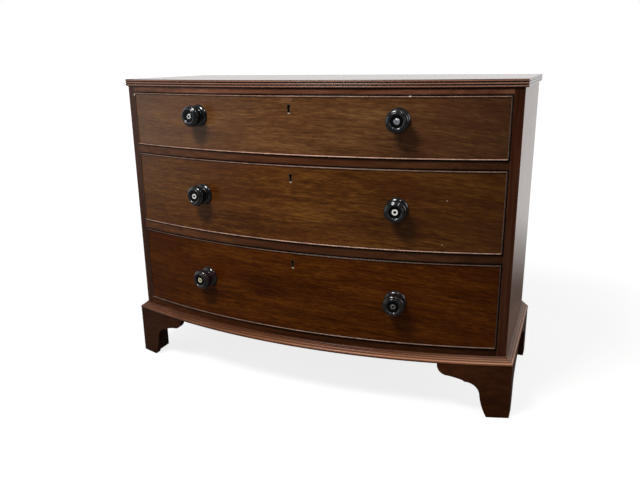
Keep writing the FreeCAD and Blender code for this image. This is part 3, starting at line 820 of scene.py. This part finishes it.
def knobFinish(name, look, tints, height):
    finish = newFinish(name)
    across, up = onKnobFace(finish, height)
    away = (across * across + up * up) ** 0.5
    out = outOnKnob(finish)
    patches = finish.noise(finish.place(), **look["patchNoise"])
    smears = finish.noise(finish.place(), **look["smearNoise"])
    rounded = finish.rounded(look["softEdge"])
    tint = finish.mixed(finish.part("x").above(0.0), tints["left"], tints["right"])
    colour = finish.mixed(patches * tints["patched"], look["black"], tint)
    lip = (1 - abs(away - look["lip"]) / look["lipHalf"]).clipped() * out.above(look["lipOut"])
    edge = (finish.edge(rounded) * look["edgeGain"]).clipped() * look["edgeShare"]
    colour = finish.mixed(lip * patches.spread(*look["lipRubbed"]) + edge, colour, look["rubbed"])
    dish = (1 - away.rising(look["dish"] - look["dishEdge"], look["dish"])) * out.above(look["dishOut"])
    neck = out.rising(*look["neckFoot"]) * (1 - out.rising(*look["neckHead"]))
    grime = ((dish + neck) * look["grimeShare"]).clipped()
    return finish.close({
        "Base Color": finish.mixed(dish * look["dishShare"], colour, look["dishShade"]),
        "Roughness": smears.spread(*look["roughness"]),
        "Specular IOR Level": look["specular"],
        "Coat Weight": (1 - grime) * tints["coat"],
        "Coat Roughness": look["coatRoughness"],
        "Normal": finish.bump(smears, look, rounded),
    })


agedMetal = {
    "tarnishNoise": {"size": 90.0, "detail": 4.0, "rough": 0.65, "cut": (0.35, 0.65)},
    "tarnishRoughness": 0.20,
    "roughness": 0.40,
    "softEdge": 0.0004,
    "relief": 0.08,
    "reliefDepth": 0.0002,
}
keyholeBrass = {
    **agedMetal,
    "bright": (0.220, 0.178, 0.120),
    "dull": (0.020, 0.014, 0.010),
    # painted highlight, pale at the foot of the keyhole
    "foot": (0.60, 0.53, 0.42),
    "footCut": (0.09, 0.18),         # shares of the keyhole's height between which its painted highlight at the foot ends
    "footHighlightShare": 0.70,                # of the metal's mirror that gives way to the painted highlight at the foot
    "tarnishShare": 0.80,
    "tarnishRoughness": 0.15,
}
lockBrass = {
    **agedMetal,
    "bright": (0.480, 0.400, 0.270),
    "dull": (0.050, 0.036, 0.024),
}
screwSteel = {
    **agedMetal,
    "bright": (0.340, 0.330, 0.320),
    "dull": (0.080, 0.060, 0.050),
    "roughness": 0.42,
}


def keyholeFinish(name, look, low, high):
    # dull brass round the keyhole, with a painted highlight at its foot
    finish = newFinish(name)
    foot = 1 - finish.part("z").rising(low[2], high[2]).rising(*look["footCut"])
    tarnish = finish.noise(finish.place(), **look["tarnishNoise"])
    colour = finish.mixed(tarnish * look["tarnishShare"], look["bright"], look["dull"])
    return finish.close({
        "Base Color": finish.mixed(foot, colour, look["foot"]),
        "Metallic": 1 - foot * look["footHighlightShare"],
        "Roughness": look["roughness"] + tarnish * look["tarnishRoughness"],
        "Normal": finish.bump(tarnish, look),
    })


def metalFinish(name, look):
    finish = newFinish(name)
    tarnish = finish.noise(finish.place(), **look["tarnishNoise"])
    return finish.close({
        "Base Color": finish.mixed(tarnish, look["bright"], look["dull"]),
        "Metallic": 1.0,
        "Roughness": look["roughness"] + tarnish * look["tarnishRoughness"],
        "Normal": finish.bump(tarnish, look, finish.rounded(look["softEdge"])),
    })


paint(metalFinish("screw_steel", screwSteel), "top_screws")
agedBrass = metalFinish("aged_brass", lockBrass)
for drawer in ("upper", "middle", "lower"):
    label = "drawer_" + drawer
    beads = label + "_cockbeads"
    keyhole = label + "_escutcheon"
    veneer = veneerFinish("drawer_veneer_" + drawer, drawerVeneer[drawer], drawerMarks[drawer])
    ebonised = knobFinish("ebonised_" + drawer, knobLook, knobTints[drawer], knobHeight(drawer))
    paint(veneer, label + "_front")
    paint(beadFinish("cockbead_" + drawer, beadLook, beadRubbedAndLit[drawer], *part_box(beads)), beads)
    paint(oakAlong["y"], label + "_side_left", label + "_side_right")
    paint(oakAlong["x"], label + "_back")
    paint(pineAlong["x"], label + "_bottom")
    paint(ebonised, label + "_knobs")
    paint(keyholeFinish("keyhole_brass_" + drawer, keyholeBrass, *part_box(keyhole)), keyhole)
    paint(agedBrass, label + "_lock", label + "_lock_bolt")
print("drawers finished")


# the seat turned in each knob for its pearl, in metres, and how the pearl fills it
pearlSeat = {
    "floor": 0.0380,         # floor of a knob's dish, out from the drawer front
    "sunk": 0.0012,
    "proud": 0.0004,
    "radius": 0.0075,
    "hole": 0.0026,
    "leastHole": 0.0002,     # the middle of a full disc, which is closed
    "gap": 0.0001,           # left round a pearl, and under a disc
    "bevel": 0.0002,
    "steps": 64,
    "crownShares": (0.06, 0.30, 0.50, 0.70, 0.94),   # places from the hole to the rim on the pearl's face
    "footShare": 0.86,       # of the way out to the rim, where the underside of a disc starts to rise
    "waveTurns": (2, 3, 5, 7),       # waves round the outline
    "waveSize": (0.2, 1.0),
    "lumpRange": (-1.0, 0.2),        # shares of the lumps' height, under and over the face
    "swellReach": 35,        # degrees on either side over which a swelling sinks to nothing
    "thinReach": 70,
}
pearlSheen = {
    "cloudNoise": {"size": 260.0, "detail": 3.0, "rough": 0.60, "bend": 1.2},
    "layerNoise": {"size": 700.0, "bend": 2.0},
    "cloudTop": 0.62,
    "rainbow": [(0.30, (0.86, 0.95, 0.90)), (0.50, (1.0, 1.0, 1.0)), (0.70, (1.0, 0.90, 0.93))],
    "rainbowShare": 0.80,
    "highlight": (0.90, 0.90, 0.92),
    "highlightCore": 0.70,        # share of a painted highlight's radius at which it starts to fade
    "roughness": (0.20, 0.35),
    "specular": 0.60,
    "coat": 0.30,
    "coatRoughness": 0.08,
    "relief": 0.05,
    "reliefDepth": 0.0003,
}
plainRing = {
    "size": 0.86,            # of the piece in its seat
    "hole": 1.15,            # share of the seat's hole, 0 for a full disc
    "thin": (0.0, 0),        # how far the rim is broken in, and at which angle from the right
    "swell": (0.0, 0),       # how far it stands out, and at which angle
    "rough": 0.03,           # how uneven the outline is
    "lumps": 0.00010,        # height of the mottling, metres
    "mottle": 0.10,          # the higher, the more of the face is pale
    "paintedHighlights": [],             # painted highlights, each across, up and radius
}
# the side is -1 for the left knob and 1 for the right one
pearlLooks = {
    ("upper", -1): {
        **plainRing,
        "thin": (0.40, 150),
        "swell": (0.30, 48),
        "rough": 0.12,
        "lumps": 0.00025,
        "pale": (0.62, 0.64, 0.66),
        "shade": (0.22, 0.24, 0.26),
        "paintedHighlights": [(0.0045, 0.0050, 0.0022)],
    },
    ("upper", 1): {
        **plainRing,
        "size": 0.93,
        "hole": 0.0,
        "rough": 0.06,
        "lumps": 0.00060,
        "pale": (0.34, 0.35, 0.38),
        "shade": (0.12, 0.13, 0.16),
        "mottle": 0.04,
        "paintedHighlights": [(0.0045, 0.0052, 0.0022), (-0.0005, 0.0052, 0.0020)],
    },
    ("middle", -1): {
        **plainRing,
        "hole": 1.35,
        "pale": (0.74, 0.74, 0.73),
        "shade": (0.55, 0.55, 0.54),
        "mottle": 0.30,
    },
    ("middle", 1): {
        **plainRing,
        "size": 0.96,
        "hole": 1.30,
        "pale": (0.78, 0.77, 0.73),
        "shade": (0.58, 0.56, 0.51),
        "mottle": 0.30,
    },
    ("lower", -1): {
        **plainRing,
        "size": 0.84,
        "rough": 0.04,
        "pale": (0.66, 0.63, 0.42),
        "shade": (0.42, 0.38, 0.22),
        "mottle": 0.25,
    },
    ("lower", 1): {
        **plainRing,
        "hole": 1.10,
        "rough": 0.05,
        "lumps": 0.00015,
        "pale": (0.115, 0.098, 0.094),
        "shade": (0.060, 0.050, 0.048),
    },
}


def pearlFinish(name, look, side, height):
    finish = newFinish(name)
    clouds = finish.noise(finish.place(), **pearlSheen["cloudNoise"])
    layers = finish.noise(finish.place(), **pearlSheen["layerNoise"])
    pale = clouds.rising(0.5 - look["mottle"], pearlSheen["cloudTop"])
    colour = finish.mixed(pale, look["shade"], look["pale"])
    across, up = onKnobFace(finish, height)
    # painted highlights on the pearl
    for spotAcross, spotUp, radius in look["paintedHighlights"]:
        away = ((across * side - spotAcross) ** 2.0 + (up - spotUp) ** 2.0) ** 0.5
        highlight = 1 - away.rising(radius * pearlSheen["highlightCore"], radius)
        colour = finish.mixed(highlight, colour, pearlSheen["highlight"])
    rainbow = finish.ramp(layers, pearlSheen["rainbow"])
    return finish.close({
        "Base Color": finish.mixed(pearlSheen["rainbowShare"], colour, rainbow, "MULTIPLY"),
        "Roughness": clouds.spread(*pearlSheen["roughness"]),
        "Specular IOR Level": pearlSheen["specular"],
        "Coat Weight": pearlSheen["coat"],
        "Coat Roughness": pearlSheen["coatRoughness"],
        "Normal": finish.bump(layers, pearlSheen),
    })


def pearlOutline(look):
    # the section of a pearl, as share of the way from hole to rim and distance out from the drawer front
    crown = pearlSeat["floor"] + pearlSeat["proud"]
    bottom = pearlSeat["floor"] - pearlSeat["sunk"]
    shoulder = crown - pearlSeat["bevel"]
    inner = bottom if look["hole"] else pearlSeat["floor"] + pearlSeat["gap"]
    face = [(share, crown) for share in pearlSeat["crownShares"]]
    rim = [(1.0, shoulder), (1.0, bottom), (pearlSeat["footShare"], bottom)]
    return [(0.0, inner), (0.0, shoulder)] + face + rim


def pearlReach(look, waves, angle):
    # how much of its full reach the uneven rim has at an angle
    def near(middle, width):
        apart = abs((math.degrees(angle) - middle + 180) % 360 - 180)
        return max(0.0, 1 - apart / width)

    swell, swellAt = look["swell"]
    thin, thinAt = look["thin"]
    uneven = sum(size * math.sin(turns * angle + start) for size, start, turns in waves) / len(waves)
    reach = 1 - look["rough"] * (0.5 + 0.5 * uneven)
    reach += swell * near(swellAt, pearlSeat["swellReach"])
    reach -= thin * near(thinAt, pearlSeat["thinReach"])
    return reach


def pearlMesh(name, look, side, height, dice):
    # a ring or a disc, turned in steps about the knob's axis
    out = Vector((side * math.sin(knobLean), -math.cos(knobLean), 0.0))
    across = Vector((math.cos(knobLean), side * math.sin(knobLean), 0.0))
    middle = Vector((side * knobApart, knobFaceY, height))
    waves = [(dice.uniform(*pearlSeat["waveSize"]), dice.uniform(0, 2 * math.pi), turns)
             for turns in pearlSeat["waveTurns"]]
    hole = max(pearlSeat["hole"] * look["hole"], pearlSeat["leastHole"])
    widest = pearlSeat["radius"] - pearlSeat["gap"]
    outline = pearlOutline(look)
    crown = max(level for share, level in outline)
    steps = pearlSeat["steps"]
    mesh = bmesh.new()
    rings = []
    for step in range(steps):
        angle = 2 * math.pi * step / steps
        reach = pearlReach(look, waves, angle)
        rim = min(hole + (pearlSeat["radius"] * look["size"] - hole) * reach, widest)
        spoke = across * math.cos(angle) + Vector((0, 0, math.sin(angle)))
        ring = []
        for share, level in outline:
            radius = hole + (rim - hole) * share
            lump = look["lumps"] * dice.uniform(*pearlSeat["lumpRange"]) if level == crown else 0.0
            ring.append(mesh.verts.new(middle + out * (level + lump) + spoke * radius))
        rings.append(ring)
    firstWall = 0 if look["hole"] else 1     # a disc has no wall round a hole
    for step in range(steps):
        here = rings[step]
        there = rings[(step + 1) % steps]
        for place in range(firstWall, len(outline)):
            after = (place + 1) % len(outline)
            mesh.faces.new((here[place], there[place], there[after], here[after]))
    if not look["hole"]:
        mesh.faces.new([ring[1] for ring in rings])
        mesh.faces.new([ring[0] for ring in reversed(rings)])
    bmesh.ops.recalc_face_normals(mesh, faces=mesh.faces)
    data = bpy.data.meshes.new(name)
    mesh.to_mesh(data)
    mesh.free()
    for polygon in data.polygons:
        polygon.use_smooth = True
    return data


def makePearl(drawer, side, look):
    name = "drawer_%s_pearl_%s" % (drawer, "left" if side < 0 else "right")
    height = knobHeight(drawer)
    dice = random.Random(len(drawer) * 10 + side)
    data = pearlMesh(name, look, side, height, dice)
    data.materials.append(pearlFinish(name, look, side, height))
    piece = bpy.data.objects.new(name, data)
    bpy.context.scene.collection.objects.link(piece)
    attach(piece, "drawer_" + drawer)
    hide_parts("drawer_%s_pearl_rings" % drawer)


for (drawer, side), look in pearlLooks.items():
    makePearl(drawer, side, look)
print("pearl let into", len(pearlLooks), "knobs")


stageLook = {
    "floorHalf": 40.0,       # half the width of the floor, metres
    "floorDrop": 0.0005,     # how far it lies under the feet
    "floorColour": (0.20, 0.20, 0.20),
    "floorGlow": 0.82,
    "whiteCut": (0.9, 2.6),          # metres from the chest between which the floor turns to plain white
    "mirrorCut": (0.8, 1.9),         # metres behind the chest between which polish starts to mirror the floor
    "horizonCut": (-0.25, 0.25),     # and the backdrop, from -1 in front to 1 straight behind
    "ambient": 0.30,
    "frontGlow": 0.08,       # of the room in front, as polish mirrors it
}


def seenRays(finish, behind):
    # camera rays see the white background, and so do mirror and glass rays where it is behind the chest
    camera = finish.node("ShaderNodeLightPath", out="Is Camera Ray")
    glossy = finish.another(camera, "Is Glossy Ray")
    transmission = finish.another(camera, "Is Transmission Ray")
    return (camera + (glossy + transmission) * behind).clipped()


def makeFloor():
    half = stageLook["floorHalf"]
    corners = [(-half, -half, 0), (half, -half, 0), (half, half, 0), (-half, half, 0)]
    mesh = bpy.data.meshes.new("floor")
    mesh.from_pydata(corners, [], [(0, 1, 2, 3)])
    floor = bpy.data.objects.new("floor", mesh)
    floor.location.z = -stageLook["floorDrop"]
    bpy.context.scene.collection.objects.link(floor)
    finish = newFinish("floor_white")
    x, y = finish.parts("xy")
    away = (x * x + y * y) ** 0.5
    glowing = away.rising(*stageLook["whiteCut"]).spread(stageLook["floorGlow"], 1)
    seen = seenRays(finish, y.rising(*stageLook["mirrorCut"]))
    matt = finish.node("ShaderNodeBsdfDiffuse", {}, {"Color": stageLook["floorColour"]})
    glow = finish.node("ShaderNodeEmission", {}, {"Color": seen * glowing, "Strength": 1.0})
    both = finish.node("ShaderNodeAddShader", {}, {0: matt, 1: glow})
    finish.node("ShaderNodeOutputMaterial", {}, {"Surface": both})
    mesh.materials.append(finish.owner)


def makeWorld():
    world = bpy.data.worlds.new("studio")
    bpy.context.scene.world = world
    sky = Finish(world)
    away = sky.part("y", sky.node("ShaderNodeTexCoord", out="Generated"))
    seen = seenRays(sky, away.rising(*stageLook["horizonCut"]))
    mirrored = sky.node("ShaderNodeLightPath", out="Is Glossy Ray")
    room = mirrored.spread(stageLook["ambient"], stageLook["frontGlow"])
    shine = seen + (1 - seen) * room
    background = sky.node("ShaderNodeBackground", {}, {"Color": shine, "Strength": 1.0})
    sky.node("ShaderNodeOutputWorld", {}, {"Surface": background})


lamps = {
    "windowAbove": {
        "at": (-0.45, -1.60, 2.60),
        "to": (0.0, -0.15, 0.5),
        "size": (0.8, 0.6),
        "watts": 76,
        "tint": (1.0, 0.99, 0.97),
    },
    "farPane": {
        "at": (1.25, -1.35, 2.55),
        "to": (0.1, -0.15, 0.5),
        "size": (0.32, 0.26),
        "watts": 9,
        "tint": (1.0, 0.98, 0.95),
    },
    "leftWall": {
        "at": (-2.3, -1.25, 0.95),
        "to": (0.0, -0.15, 0.6),
        "size": (2.4, 1.8),
        "watts": 14,
        "tint": (0.95, 1.0, 0.98),
    },
    "rightFill": {
        "at": (3.0, 0.4, 1.5),
        "to": (0.5, 0.0, 0.4),
        "size": (1.4, 1.4),
        "watts": 26,
        "tint": (1.0, 0.98, 0.96),
    },
}


def makeLamps():
    for name, lamp in lamps.items():
        data = bpy.data.lights.new(name, "AREA")
        data.shape = "RECTANGLE"
        data.size, data.size_y = lamp["size"]
        data.energy = lamp["watts"]
        data.color = lamp["tint"]
        aim = Vector(lamp["to"]) - Vector(lamp["at"])
        holder = bpy.data.objects.new(name, data)
        holder.location = lamp["at"]
        holder.rotation_euler = aim.to_track_quat("-Z", "Y").to_euler()
        holder.visible_camera = False
        bpy.context.scene.collection.objects.link(holder)


cameraLook = {
    "at": (0.640575, -1.575811, 0.845645),
    "turn": 22.692,          # degrees to the left of straight back
    "tip": 16.032,           # degrees down
    "roll": -0.796,          # degrees anticlockwise
    "lens": 35.35543,        # millimetres
    "sensorWidth": 36.0,
}


def makeCamera():
    turn, tip, roll = (math.radians(cameraLook[key]) for key in ("turn", "tip", "roll"))
    rolled = Matrix.Rotation(roll, 4, "Z")
    tipped = Matrix.Rotation(math.pi / 2 - tip, 4, "X")
    turned = Matrix.Rotation(turn, 4, "Z")
    data = bpy.data.cameras.new("camera")
    data.sensor_width = cameraLook["sensorWidth"]
    data.lens = cameraLook["lens"]
    camera = bpy.data.objects.new("camera", data)
    camera.matrix_world = Matrix.Translation(cameraLook["at"]) @ turned @ tipped @ rolled
    bpy.context.scene.collection.objects.link(camera)
    bpy.context.scene.camera = camera


makeFloor()
makeWorld()
makeLamps()
makeCamera()
bpy.context.scene.view_settings.view_transform = "Standard"
print("stage, lamps and camera ready")
